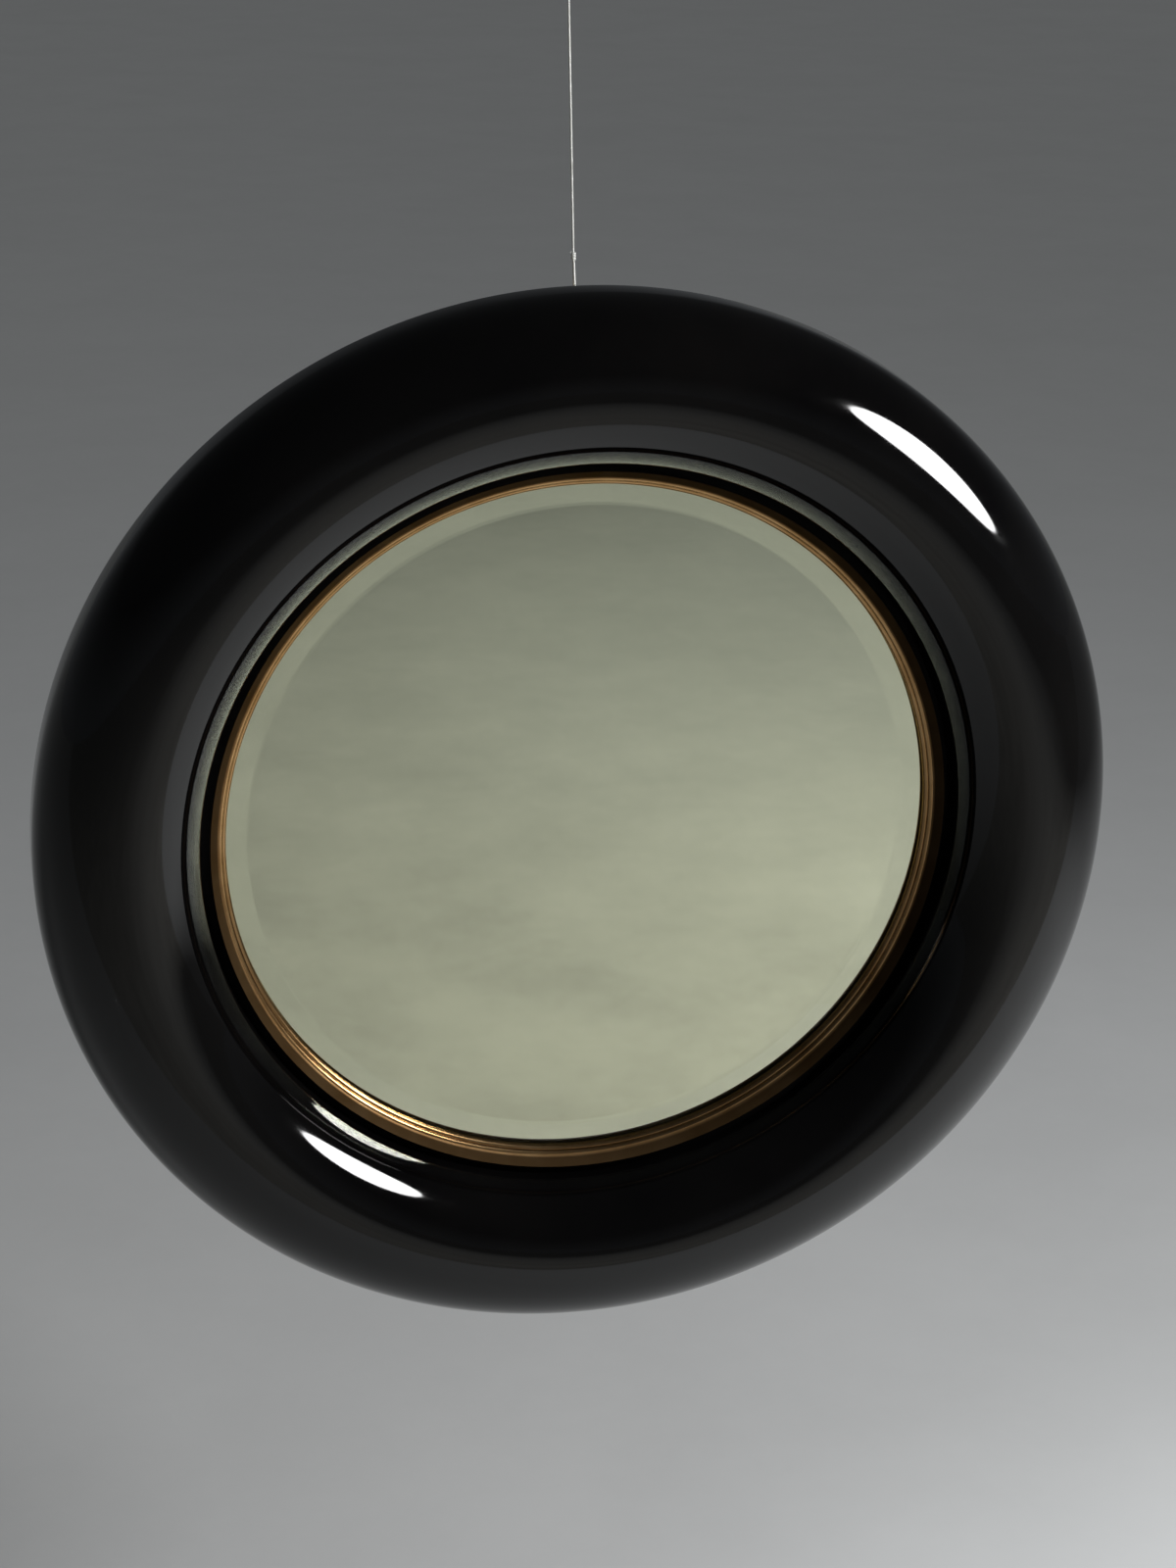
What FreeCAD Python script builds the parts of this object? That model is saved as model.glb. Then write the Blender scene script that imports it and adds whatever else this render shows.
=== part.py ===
import FreeCAD, Part
import math
import os

# Round wall mirror in millimetres. +Z is up, the front looks along -Y and the wall is the plane y = 0.
# Heights called forward are measured towards the viewer from the plane of the slip's sight edge.

# Sight opening and gilt slip
sight_radius = 262.0
slip_face_width = 12.3
slip_rise = 15.0
slip_wall = 1.8
slip_flange_width = 7.1
slip_flange_height = 7.0
reed_run = 2.5
reed_rise = 3.0
reed_groove = 0.35
reed_bulge = 0.8
slip_face_bulge = 0.35
slip_gap = 0.3
brad_count = 12
brad_radius = 0.7
brad_length = 9.5
brad_head_radius = 1.3
brad_head_height = 0.8

# Lacquered roll moulding, with a land that falls from the slip to a groove at the foot of the roll
land_width = 7.5
land_height = 14.8
groove_height = 9.7
roll_foot = 24.4
roll_inner_radius = 58.5
roll_inner_turn = 71.0
roll_outer_run = 62.58
roll_outer_drop = 61.0
moulding_wall = 20.0
inner_wall = 34.0
back_round = 2.5
# Handle length of a curve that follows a quarter of an ellipse
quarter_share = 0.5523

# Mirror plate and its packing
glass_thickness = 5.0
glass_step = 0.6
bevel_width = 28.0
bevel_drop = 2.0
silver_thickness = 0.2
card_thickness = 2.0
board_thickness = 12.0
board_clearance = 1.0
felt_setback = 1.2
felt_clearance = 0.05
block_count = 8
block_thickness = 7.5
block_angle = 5.0

# Rear ring
rear_ring_thickness = 12.0
rear_ring_inset = 10.0
ring_screw_count = 8
ring_screw_inset = 7.0
ring_screw_length = 28.0

# Turn buttons
button_count = 6
button_ledge = 20.3
button_length = 44.0
button_width = 14.0
button_thickness = 2.0
button_first_angle = 30.0
button_lift = 0.2
button_screw_length = 18.0
button_screw_radius = 2.0
button_head_radius = 4.2
button_head_height = 2.4
pivot_clearance = 0.05

# Countersunk wood screws
screw_radius = 2.0
screw_head_radius = 3.6
screw_head_height = 2.2
screw_tip_length = 4.0
screw_clearance = 0.1
slot_width = 0.9
slot_depth = 1.0

# Wall bumpers
bumper_height = 7.0
bumper_base_radius = 11.0
bumper_tip_radius = 9.0
bumper_count = 4
bumper_first_angle = 45.0
bumper_screw_depth = 2.5
bumper_screw_length = 14.0

# Strap hanger and D ring
strap_width = 16.0
strap_length = 46.0
strap_thickness = 1.6
strap_end_inset = 8.0
hanger_rise = 50.0
hanger_screw_length = 13.6
ring_wire_radius = 1.5
ring_bow_radius = 11.0
ring_side_length = 9.0
ring_corner_radius = 3.0
knuckle_clearance = 0.1

# Hanging line
line_radius = 0.75
line_gap = 0.3
line_lean = 7.2
lower_knot_height = 43.4
upper_knot_height = 230.0
eye_radius = 8.0
eye_rise = 26.0
knot_radius = 2.8
knot_length = 7.0
knot_round = 1.2
knot_clearance = 0.05

# Length by which a cut runs past the face it opens
overrun = 1.0

# Radii that follow from the sizes above
slip_face_radius = sight_radius + slip_face_width
land_radius = slip_face_radius + slip_gap
foot_radius = land_radius + land_width
slip_outer_radius = slip_face_radius + slip_flange_width
rebate_radius = slip_outer_radius + slip_gap
crest_radius = foot_radius + roll_inner_radius * math.sin(math.radians(roll_inner_turn))
outer_radius = crest_radius + roll_outer_run
cavity_inner_radius = rebate_radius + inner_wall
cavity_outer_radius = outer_radius - moulding_wall
glass_radius = rebate_radius - block_thickness - slip_gap
bevel_radius = glass_radius - bevel_width
board_radius = rebate_radius - board_clearance
rear_ring_inner_radius = rebate_radius + button_ledge
rear_ring_outer_radius = outer_radius - rear_ring_inset
pivot_radius = rebate_radius + button_ledge / 2
bumper_radius = (rear_ring_inner_radius + rear_ring_outer_radius) / 2
hanger_height = rear_ring_inner_radius + hanger_rise

# Forward heights that follow from the sizes above
crest_height = roll_foot + roll_inner_radius * (1 - math.cos(math.radians(roll_inner_turn)))
arc_centre_height = crest_height - roll_inner_radius
widest_height = crest_height - roll_outer_drop
shoulder_height = slip_flange_height + slip_gap
silver_front = glass_step - glass_thickness
card_front = silver_front - silver_thickness
board_front = card_front - card_thickness
moulding_back = board_front - board_thickness
rear_ring_back = moulding_back - rear_ring_thickness
wall_plane = rear_ring_back - bumper_height

origin = FreeCAD.Vector(0, 0, 0)
mirror_axis = FreeCAD.Vector(0, 1, 0)
across_axis = FreeCAD.Vector(1, 0, 0)
full_turn = 360.0


def depth(forward):
    """Row coordinate y of a forward height."""
    return wall_plane - forward


def at(radius, forward):
    """Point of a ring's section."""
    return FreeCAD.Vector(radius, depth(forward), 0)


def lines(points):
    """Straight edges through points in order."""
    return [Part.makeLine(a, b) for a, b in zip(points, points[1:])]


def bulged(start, end, bulge):
    """Arc from start to end that stands off its chord by bulge, towards the viewer."""
    chord = end - start
    side = FreeCAD.Vector(chord.y, -chord.x, 0)
    side.normalize()
    middle = (start + end) / 2 + side * bulge
    return Part.Arc(start, middle, end).toShape()


def quarter(crest, widest):
    """Quarter of an ellipse from the crest of a roll to its widest point."""
    out = FreeCAD.Vector(widest.x - crest.x, 0, 0)
    down = FreeCAD.Vector(0, widest.y - crest.y, 0)
    curve = Part.BezierCurve()
    curve.setPoles([crest, crest + out * quarter_share, widest - down * quarter_share, widest])
    return curve.toShape()


def roll_arc(radius):
    """Inner arc of the roll, or of an offset of it, from its foot to its crest."""
    points = []
    for turn in (roll_inner_turn, roll_inner_turn / 2, 0):
        angle = math.radians(turn)
        across = radius * math.sin(angle)
        rise = radius * math.cos(angle)
        points.append(at(crest_radius - across, arc_centre_height + rise))
    return Part.Arc(*points).toShape()


def spun(edges, turn=full_turn):
    """Solid of revolution about the mirror's axis."""
    face = Part.Face(Part.Wire(edges))
    return face.revolve(origin, mirror_axis, turn)


def ring(inner, outer, front, back):
    """Flat ring, or a disc where inner is zero."""
    corners = [at(inner, back), at(outer, back), at(outer, front), at(inner, front), at(inner, back)]
    return spun(lines(corners))


def around(shape, angle):
    """Copy of a shape turned clockwise, as seen from the front, from the top of the mirror."""
    copy = shape.copy()
    copy.rotate(origin, mirror_axis, angle)
    return copy


def spread(shape, count, first):
    """Copies at even angles."""
    return [around(shape, first + full_turn * i / count) for i in range(count)]


def turned(points):
    """Small turned piece along Y from points of half its outline, closed on its own axis."""
    outline = [FreeCAD.Vector(radius, along, 0) for radius, along in points]
    closed = [FreeCAD.Vector(0, outline[0].y, 0)] + outline + [FreeCAD.Vector(0, outline[-1].y, 0)]
    face = Part.Face(Part.Wire(lines(closed + [closed[0]])))
    return face.revolve(origin, mirror_axis, full_turn)


def placed(shape, height, forward):
    """Piece made at the origin, set at the top of a circle of that radius at a forward height."""
    copy = shape.copy()
    copy.translate(FreeCAD.Vector(0, depth(forward), height))
    return copy


def countersunk(length, clearance=0):
    """Countersunk screw, or its hole, with its head flush at the origin and its tip along -Y."""
    head = screw_head_radius + clearance
    shank = screw_radius + clearance
    end = length + clearance
    return turned(
        [
            (head, 0),
            (shank, -screw_head_height),
            (shank, screw_tip_length - end),
            (shank / 2, -end),
        ]
    )


def slotted(screw, head):
    """Screw with a driver slot across its head, which is at that height."""
    long_side = 2 * max(screw_head_radius, button_head_radius) + 2 * overrun
    corner = FreeCAD.Vector(-long_side / 2, head - slot_depth, -slot_width / 2)
    return screw.cut(Part.makeBox(long_side, slot_depth + overrun, slot_width, corner))


def bored(shape, holes):
    """Shape with all its holes cut."""
    return shape.cut(Part.makeCompound(holes))


def save(name, shape):
    """One file per node."""
    shape.exportStep(os.path.join("parts", name + ".step"))
    print(name, len(shape.Solids), "solids", round(shape.Volume / 1000, 2), "cm3", shape.isValid())


os.makedirs("parts", exist_ok=True)

# Screws and brads, with the holes that they sit in
ring_screw_circles = (
    rear_ring_inner_radius + ring_screw_inset,
    (cavity_outer_radius + rear_ring_outer_radius) / 2,
)
ring_screw_angle = full_turn / ring_screw_count / 2
ring_screws = []
ring_screw_holes = []
for circle in ring_screw_circles:
    screw = placed(slotted(countersunk(ring_screw_length), 0), circle, rear_ring_back)
    hole = placed(countersunk(ring_screw_length, screw_clearance), circle, rear_ring_back)
    ring_screws += spread(screw, ring_screw_count, ring_screw_angle)
    ring_screw_holes += spread(hole, ring_screw_count, ring_screw_angle)


def button_screw(clearance=0):
    """Pan-headed pivot screw, or its hole, with the underside of its head at the origin."""
    shank = button_screw_radius + clearance
    end = button_screw_length + clearance
    return turned(
        [
            (button_head_radius / 2, button_head_height),
            (button_head_radius, button_head_height / 2),
            (button_head_radius, 0),
            (shank, 0),
            (shank, screw_tip_length - end),
            (shank / 2, -end),
        ]
    )


button_front = moulding_back - button_lift
button_back = button_front - button_thickness
button_head_seat = button_back - button_lift
pivot_screw = placed(slotted(button_screw(), button_head_height), pivot_radius, button_head_seat)
pivot_hole = placed(button_screw(screw_clearance), pivot_radius, button_head_seat)
button_screws = spread(pivot_screw, button_count, button_first_angle)
button_screw_holes = spread(pivot_hole, button_count, button_first_angle)

bumper_screw_seat = wall_plane + bumper_screw_depth
bumper_screw = placed(slotted(countersunk(bumper_screw_length), 0), bumper_radius, bumper_screw_seat)
bumper_hole = placed(countersunk(bumper_screw_length, screw_clearance), bumper_radius, bumper_screw_seat)
bumper_screws = spread(bumper_screw, bumper_count, bumper_first_angle)
bumper_screw_holes = spread(bumper_hole, bumper_count, bumper_first_angle)

strap_back = rear_ring_back - strap_thickness
strap_screw_heights = (
    hanger_height - strap_length + strap_end_inset,
    hanger_height - 2 * strap_end_inset,
)
strap_screw = slotted(countersunk(hanger_screw_length), 0)
strap_hole = countersunk(hanger_screw_length, screw_clearance)
hanger_screws = [placed(strap_screw, height, strap_back) for height in strap_screw_heights]
hanger_screw_holes = [placed(strap_hole, height, strap_back) for height in strap_screw_heights]

brad_circle = (land_radius + slip_outer_radius) / 2


def brad(clearance=0):
    """Small nail, or its hole, with the top of its head at the origin."""
    return turned(
        [
            (brad_head_radius + clearance, 0),
            (brad_head_radius + clearance, -brad_head_height),
            (brad_radius + clearance, -brad_head_height),
            (brad_radius + clearance, -brad_length - clearance),
        ]
    )


brad_angle = full_turn / brad_count / 2
brads = spread(placed(brad(), brad_circle, 0), brad_count, brad_angle)
brad_holes = spread(placed(brad(screw_clearance), brad_circle, 0), brad_count, brad_angle)

# Front moulding: the roll outside, the rebate for slip and glass inside, and a hollow behind the roll
crest = at(crest_radius, crest_height)
widest = at(outer_radius, widest_height)
skirt_end = at(outer_radius, moulding_back + back_round)
back_edge = at(outer_radius - back_round, moulding_back)
round_share = 1 - math.sqrt(0.5)
round_middle = at(outer_radius - back_round * round_share, moulding_back + back_round * round_share)
moulding = spun(
    lines(
        [
            at(land_radius, shoulder_height),
            at(land_radius, land_height),
            at(foot_radius, groove_height),
            at(foot_radius, roll_foot),
        ]
    )
    + [roll_arc(roll_inner_radius), quarter(crest, widest)]
    + lines([widest, skirt_end])
    + [Part.Arc(skirt_end, round_middle, back_edge).toShape()]
    + lines(
        [
            back_edge,
            at(rebate_radius, moulding_back),
            at(rebate_radius, shoulder_height),
            at(land_radius, shoulder_height),
        ]
    )
)
cavity_arc = roll_arc(roll_inner_radius - moulding_wall)
cavity_foot = cavity_arc.Vertexes[0].Point
cavity_crest = at(crest_radius, crest_height - moulding_wall)
cavity_widest = at(cavity_outer_radius, widest_height)
cavity_mouth = moulding_back - overrun
hollow = spun(
    [cavity_arc, quarter(cavity_crest, cavity_widest)]
    + lines(
        [
            cavity_widest,
            at(cavity_outer_radius, cavity_mouth),
            at(cavity_foot.x, cavity_mouth),
            cavity_foot,
        ]
    )
)
inner_wall_core = ring(0, cavity_inner_radius, crest_height, cavity_mouth - overrun)
moulding = moulding.cut(hollow.cut(inner_wall_core))
save("front_moulding", bored(moulding, ring_screw_holes + button_screw_holes + brad_holes))

# Gilt slip: two fine reeds at the sight edge, then a broad convex face up to the land
reed_points = [(0, slip_wall), (reed_run, slip_wall + reed_rise)]
reed_points.append((reed_run + reed_groove, slip_wall + reed_rise))
reed_points.append((2 * reed_run + reed_groove, slip_wall + 2 * reed_rise))
reed_points.append((2 * reed_run + 2 * reed_groove, slip_wall + 2 * reed_rise))
reed_corners = [at(sight_radius + run, rise) for run, rise in reed_points]
slip_top = at(slip_face_radius, slip_rise)
slip_edges = (
    lines([at(sight_radius, 0), reed_corners[0]])
    + [bulged(reed_corners[0], reed_corners[1], reed_bulge)]
    + lines(reed_corners[1:3])
    + [bulged(reed_corners[2], reed_corners[3], reed_bulge)]
    + lines(reed_corners[3:5])
    + [bulged(reed_corners[4], slip_top, slip_face_bulge)]
    + lines(
        [
            slip_top,
            at(slip_face_radius, slip_flange_height),
            at(slip_outer_radius, slip_flange_height),
            at(slip_outer_radius, 0),
            at(sight_radius, 0),
        ]
    )
)
save("gilt_slip", bored(spun(slip_edges), brad_holes))
save("slip_brads", Part.makeCompound(brads))


def bevel_height(radius):
    """Forward height of the bevel's surface."""
    return glass_step - bevel_drop * (radius - bevel_radius) / bevel_width


# Mirror plate, its silvering, and the felt between the bevel and the slip
glass_corners = [
    at(0, silver_front),
    at(glass_radius, silver_front),
    at(glass_radius, bevel_height(glass_radius)),
    at(bevel_radius, glass_step),
    at(0, glass_step),
    at(0, silver_front),
]
save("mirror_glass", spun(lines(glass_corners)))
save("silver_coat", ring(0, glass_radius, silver_front, card_front))
felt_radius = sight_radius + felt_setback
felt_corners = [
    at(felt_radius, -felt_clearance),
    at(glass_radius, -felt_clearance),
    at(glass_radius, bevel_height(glass_radius) + felt_clearance),
    at(felt_radius, bevel_height(felt_radius) + felt_clearance),
    at(felt_radius, -felt_clearance),
]
save("felt_ring", spun(lines(felt_corners)))

# Cork blocks between the edge of the glass and the rebate
block_inner_radius = glass_radius + slip_gap / 2
block_outer_radius = rebate_radius - slip_gap / 2
block_front = bevel_height(glass_radius)
block_corners = [
    at(block_inner_radius, silver_front),
    at(block_outer_radius, silver_front),
    at(block_outer_radius, block_front),
    at(block_inner_radius, block_front),
    at(block_inner_radius, silver_front),
]
block = spun(lines(block_corners), block_angle)
save("edge_blocks", Part.makeCompound(spread(block, block_count, 0)))

# Card and board behind the silvering
save("card_sheet", ring(0, glass_radius, card_front, board_front))
save("backing_board", ring(0, board_radius, board_front, moulding_back))

# Turn buttons: round-ended plates that point inwards over the board
button_end = button_width / 2
button_top = pivot_radius + button_end
button_tip = button_top - button_length
plate_depth = depth(button_front)
plate_corner = FreeCAD.Vector(-button_end, plate_depth, button_tip + button_end)
straight_length = button_length - button_width
button = Part.makeBox(button_width, button_thickness, straight_length, plate_corner)
for height in (pivot_radius, button_tip + button_end):
    end_centre = FreeCAD.Vector(0, plate_depth, height)
    button = button.fuse(Part.makeCylinder(button_end, button_thickness, end_centre, mirror_axis))
pivot_bore_centre = FreeCAD.Vector(0, plate_depth - overrun, pivot_radius)
pivot_bore_length = button_thickness + 2 * overrun
pivot_bore_radius = button_screw_radius + pivot_clearance
button = button.cut(Part.makeCylinder(pivot_bore_radius, pivot_bore_length, pivot_bore_centre, mirror_axis))
button = button.removeSplitter()
for i, turned_button in enumerate(spread(button, button_count, button_first_angle)):
    save("turn_button_%d" % (i + 1), turned_button)
save("button_screws", Part.makeCompound(button_screws))

# Rear ring that closes the hollow and carries the fittings
rear_ring = ring(rear_ring_inner_radius, rear_ring_outer_radius, moulding_back, rear_ring_back)
save("rear_ring", bored(rear_ring, ring_screw_holes + bumper_screw_holes + hanger_screw_holes))
save("rear_ring_screws", Part.makeCompound(ring_screws))

# Rubber bumpers, each a short cone with a sunk screw
bumper_body = turned([(bumper_tip_radius, bumper_height), (bumper_base_radius, 0)])
bumper_body = placed(bumper_body, bumper_radius, rear_ring_back)
driver_hole_radius = screw_head_radius + screw_clearance
driver_hole_length = bumper_screw_depth + overrun
driver_hole_centre = FreeCAD.Vector(0, depth(bumper_screw_seat), bumper_radius)
driver_hole = Part.makeCylinder(driver_hole_radius, driver_hole_length, driver_hole_centre, mirror_axis)
bumper = bored(bumper_body, [bumper_hole, driver_hole])
for i, turned_bumper in enumerate(spread(bumper, bumper_count, bumper_first_angle)):
    save("bumper_%d" % (i + 1), turned_bumper)
save("bumper_screws", Part.makeCompound(bumper_screws))

# Strap hanger: a plate with a knuckle rolled round the bar of the D ring
knuckle_inner_radius = ring_wire_radius + knuckle_clearance
knuckle_outer_radius = knuckle_inner_radius + strap_thickness
bar_depth = depth(rear_ring_back) + knuckle_outer_radius
knuckle_start = FreeCAD.Vector(-strap_width / 2, bar_depth, hanger_height)
strap_corner = FreeCAD.Vector(-strap_width / 2, depth(rear_ring_back), hanger_height - strap_length)
strap = Part.makeBox(strap_width, strap_thickness, strap_length, strap_corner)
knuckle = Part.makeCylinder(knuckle_outer_radius, strap_width, knuckle_start, across_axis)
bar_bore_start = FreeCAD.Vector(-strap_width / 2 - overrun, bar_depth, hanger_height)
bar_bore = Part.makeCylinder(knuckle_inner_radius, strap_width + 2 * overrun, bar_bore_start, across_axis)
strap = bored(strap.fuse(knuckle), hanger_screw_holes + [bar_bore]).removeSplitter()
save("hanger_plate", strap)
save("hanger_screws", Part.makeCompound(hanger_screws))

# D ring, pulled up along the line
lean = math.radians(line_lean)
line_up = FreeCAD.Vector(0, math.sin(lean), math.cos(lean))
line_back = FreeCAD.Vector(0, math.cos(lean), -math.sin(lean))
bar_centre = FreeCAD.Vector(0, bar_depth, hanger_height)


def ring_point(across, up):
    """Point in the plane of the D ring."""
    return bar_centre + across_axis * across + line_up * up


corner_near = ring_corner_radius * round_share
straight_half = ring_bow_radius - ring_corner_radius
left_corner = [
    ring_point(-ring_bow_radius, ring_corner_radius),
    ring_point(corner_near - ring_bow_radius, corner_near),
    ring_point(-straight_half, 0),
]
right_corner = [
    ring_point(straight_half, 0),
    ring_point(ring_bow_radius - corner_near, corner_near),
    ring_point(ring_bow_radius, ring_corner_radius),
]
bow_top = ring_side_length + ring_bow_radius
right_bow = ring_point(ring_bow_radius, ring_side_length)
left_bow = ring_point(-ring_bow_radius, ring_side_length)
ring_path = Part.Wire(
    [
        Part.makeLine(ring_point(0, 0), right_corner[0]),
        Part.Arc(*right_corner).toShape(),
        Part.makeLine(right_corner[2], right_bow),
        Part.Arc(right_bow, ring_point(0, bow_top), left_bow).toShape(),
        Part.makeLine(left_bow, left_corner[0]),
        Part.Arc(*left_corner).toShape(),
        Part.makeLine(left_corner[2], ring_point(0, 0)),
    ]
)
ring_section = Part.Face(Part.Wire(Part.makeCircle(ring_wire_radius, ring_point(0, 0), across_axis)))
save("hanger_ring", Part.Solid(ring_path.makePipe(ring_section).Shells[0]))

# Hanging line: round the bow, up through the lower knot, and over in a loop above the upper knot
bow_centre = ring_point(0, bow_top)
loop_radius = ring_wire_radius + line_gap + line_radius
strand_pitch = 2 * line_radius + line_gap


def line_point(back, up):
    """Point in the plane of the line, measured from the middle of the bow."""
    return bow_centre + line_back * back + line_up * up


def loop(centre_back, centre_up, radius, tail_back, tail_up):
    """Arc and tail of a loop that leaves the straight line at the back of its circle."""
    back = tail_back - centre_back
    up = tail_up - centre_up
    reach = math.hypot(back, up)
    side = math.copysign(1, up)
    touch = math.atan2(up, back) + side * math.acos(radius / reach)
    middle = touch / 2 - side * math.pi / 2 + math.pi * (1 + side) / 2
    points = []
    for angle in (0, middle, touch):
        points.append(
            line_point(centre_back + radius * math.cos(angle), centre_up + radius * math.sin(angle))
        )
    tail = line_point(tail_back, tail_up)
    return points, tail


lower_knot_base = lower_knot_height - knot_length / 2
upper_knot_top = upper_knot_height + knot_length / 2
tail_back = loop_radius - strand_pitch
lower_arc, lower_tail = loop(0, 0, loop_radius, tail_back, lower_knot_base)
eye_centre_back = loop_radius - eye_radius
eye_centre_up = upper_knot_height + eye_rise
upper_arc, upper_tail = loop(eye_centre_back, eye_centre_up, eye_radius, tail_back, upper_knot_top)
line_edges = [
    Part.makeLine(lower_tail, lower_arc[2]),
    Part.Arc(lower_arc[2], lower_arc[1], lower_arc[0]).toShape(),
    Part.makeLine(lower_arc[0], upper_arc[0]),
    Part.Arc(upper_arc[0], upper_arc[1], upper_arc[2]).toShape(),
    Part.makeLine(upper_arc[2], upper_tail),
]
line_path = Part.Wire(line_edges)
line_start = (lower_arc[2] - lower_tail).normalize()
line_section = Part.Wire(Part.makeCircle(line_radius, lower_tail, line_start))
hanging_line = line_path.makePipeShell([line_section], True, False)
save("hanging_line", hanging_line)
expected = math.pi * line_radius**2 * line_path.Length
print("line length", round(line_path.Length, 1), "radii", round(loop_radius, 2), eye_radius)
print("line volume over section times length", round(hanging_line.Volume / expected, 4))


def knot(height):
    """Barrel of a wrapped knot, with the straight line passing through it."""
    half = knot_length / 2
    body = turned(
        [
            (knot_radius - knot_round, half),
            (knot_radius, half - knot_round),
            (knot_radius, knot_round - half),
            (knot_radius - knot_round, -half),
        ]
    )
    bore = Part.makeCylinder(
        line_radius + knot_clearance, knot_length + 2 * overrun, mirror_axis * (-half - overrun), mirror_axis
    )
    body = body.cut(bore)
    body.Placement = FreeCAD.Placement(
        line_point(loop_radius, height), FreeCAD.Rotation(mirror_axis, line_up)
    )
    return body


save("lower_knot", knot(lower_knot_height))
save("upper_knot", knot(upper_knot_height))
print("outer radius", round(outer_radius, 2), "crest", round(crest_height, 2))
print("sight plane", round(depth(0), 2), "board back", round(depth(moulding_back), 2))
print("bar", bar_centre, "bow", bow_centre, "pivot circle", round(pivot_radius, 3))
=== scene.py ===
import math

import bmesh
import bpy
from mathutils import Matrix, Vector


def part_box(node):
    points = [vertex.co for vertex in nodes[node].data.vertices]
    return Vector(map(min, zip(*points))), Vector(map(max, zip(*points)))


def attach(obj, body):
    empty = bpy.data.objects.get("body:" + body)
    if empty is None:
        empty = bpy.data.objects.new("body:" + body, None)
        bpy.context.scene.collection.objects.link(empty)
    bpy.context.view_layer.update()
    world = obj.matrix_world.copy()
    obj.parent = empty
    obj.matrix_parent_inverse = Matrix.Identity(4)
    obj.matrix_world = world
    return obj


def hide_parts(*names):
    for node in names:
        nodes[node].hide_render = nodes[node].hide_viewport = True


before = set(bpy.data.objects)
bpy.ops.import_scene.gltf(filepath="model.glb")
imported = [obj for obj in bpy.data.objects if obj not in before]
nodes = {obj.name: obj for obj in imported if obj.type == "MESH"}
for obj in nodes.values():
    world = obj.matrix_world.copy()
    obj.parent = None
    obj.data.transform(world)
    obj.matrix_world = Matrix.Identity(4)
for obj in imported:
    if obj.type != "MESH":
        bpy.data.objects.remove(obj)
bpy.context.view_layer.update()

# Front moulding. The bold roll is turned in joined hardwood, hollowed from behind, and finished
# in many rubbed coats of black lacquer. A rebate at its inner edge takes the slip and the glass.
moulding_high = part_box("front_moulding")[1]
slip_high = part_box("gilt_slip")[1]
outer_radius = moulding_high.x
back_depth = moulding_high.y
sight_depth = slip_high.y
slip_gap = 0.0003
rebate_radius = slip_high.x + slip_gap
land_radius = 0.2746
land_width = 0.0075
land_height = 0.0148
groove_height = 0.0097
foot_height = 0.0244
shoulder_height = 0.0073
land_depth = sight_depth - land_height
groove_depth = sight_depth - groove_height
foot_radius = land_radius + land_width
foot_depth = sight_depth - foot_height
shoulder_depth = sight_depth - shoulder_height
roll_inner_radius = 0.0585
roll_inner_turn = 71.0
roll_outer_drop = 0.0610
crest_radius = foot_radius + roll_inner_radius * math.sin(math.radians(roll_inner_turn))
crest_depth = foot_depth - roll_inner_radius * (1 - math.cos(math.radians(roll_inner_turn)))
roll_outer_run = outer_radius - crest_radius
arc_depth = crest_depth + roll_inner_radius
widest_depth = crest_depth + roll_outer_drop
back_round = 0.0025
moulding_wall = 0.020
rebate_wall = 0.034
hollow_inner_radius = rebate_radius + rebate_wall
lathe_steps = 320


def start_outline(radius, depth):
    """Outline of a turned piece, drawn in the half plane of its radius and its depth."""
    outline = bmesh.new()
    return outline, outline.verts.new((radius, depth, 0))


def run_to(outline, vert, radius, depth):
    """Straight stretch of an outline."""
    end = bmesh.ops.extrude_vert_indiv(outline, verts=[vert])["verts"][0]
    end.co = (radius, depth, 0)
    return end


def swing(outline, vert, centre_radius, centre_depth, angle, steps):
    """Round stretch of an outline about a centre, in degrees."""
    made = bmesh.ops.spin(
        outline,
        geom=[vert],
        cent=(centre_radius, centre_depth, 0),
        axis=(0, 0, 1),
        angle=math.radians(angle),
        steps=steps,
    )
    return [end for end in made["geom_last"] if isinstance(end, bmesh.types.BMVert)][0]


def quarter_roll(outline, vert, run, drop, angle, steps):
    """Quarter of an ellipse between the crest of the roll and its widest point."""
    before = set(outline.verts)
    circle_start = vert.co.copy()
    stretch = run / drop
    vert.co.x = crest_radius + (vert.co.x - crest_radius) / stretch
    end = swing(outline, vert, crest_radius, widest_depth, angle, steps)
    added = [v for v in outline.verts if v not in before]
    middle = Matrix.Translation((-crest_radius, 0, 0))
    bmesh.ops.scale(outline, vec=(stretch, 1, 1), space=middle, verts=added)
    vert.co = circle_start
    return end


def piece_from(name, mesh_builder, sharp_angle):
    """New piece of the object, smooth apart from edges that turn by more than the angle."""
    mesh = bpy.data.meshes.new(name)
    mesh_builder.to_mesh(mesh)
    mesh_builder.free()
    mesh.shade_smooth()
    mesh.set_sharp_from_angle(angle=math.radians(sharp_angle))
    piece = bpy.data.objects.new(name, mesh)
    bpy.context.scene.collection.objects.link(piece)
    return piece


def turn_on_lathe(name, outline, sharp_angle=30.0):
    """Ring or disc turned from its outline about the mirror's axis."""
    bmesh.ops.spin(
        outline,
        geom=outline.verts[:] + outline.edges[:],
        cent=(0, 0, 0),
        axis=(0, 1, 0),
        angle=math.tau,
        steps=lathe_steps,
        use_merge=True,
    )
    bmesh.ops.remove_doubles(outline, verts=outline.verts[:], dist=1e-7)
    bmesh.ops.recalc_face_normals(outline, faces=outline.faces[:])
    return piece_from(name, outline, sharp_angle)


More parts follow.
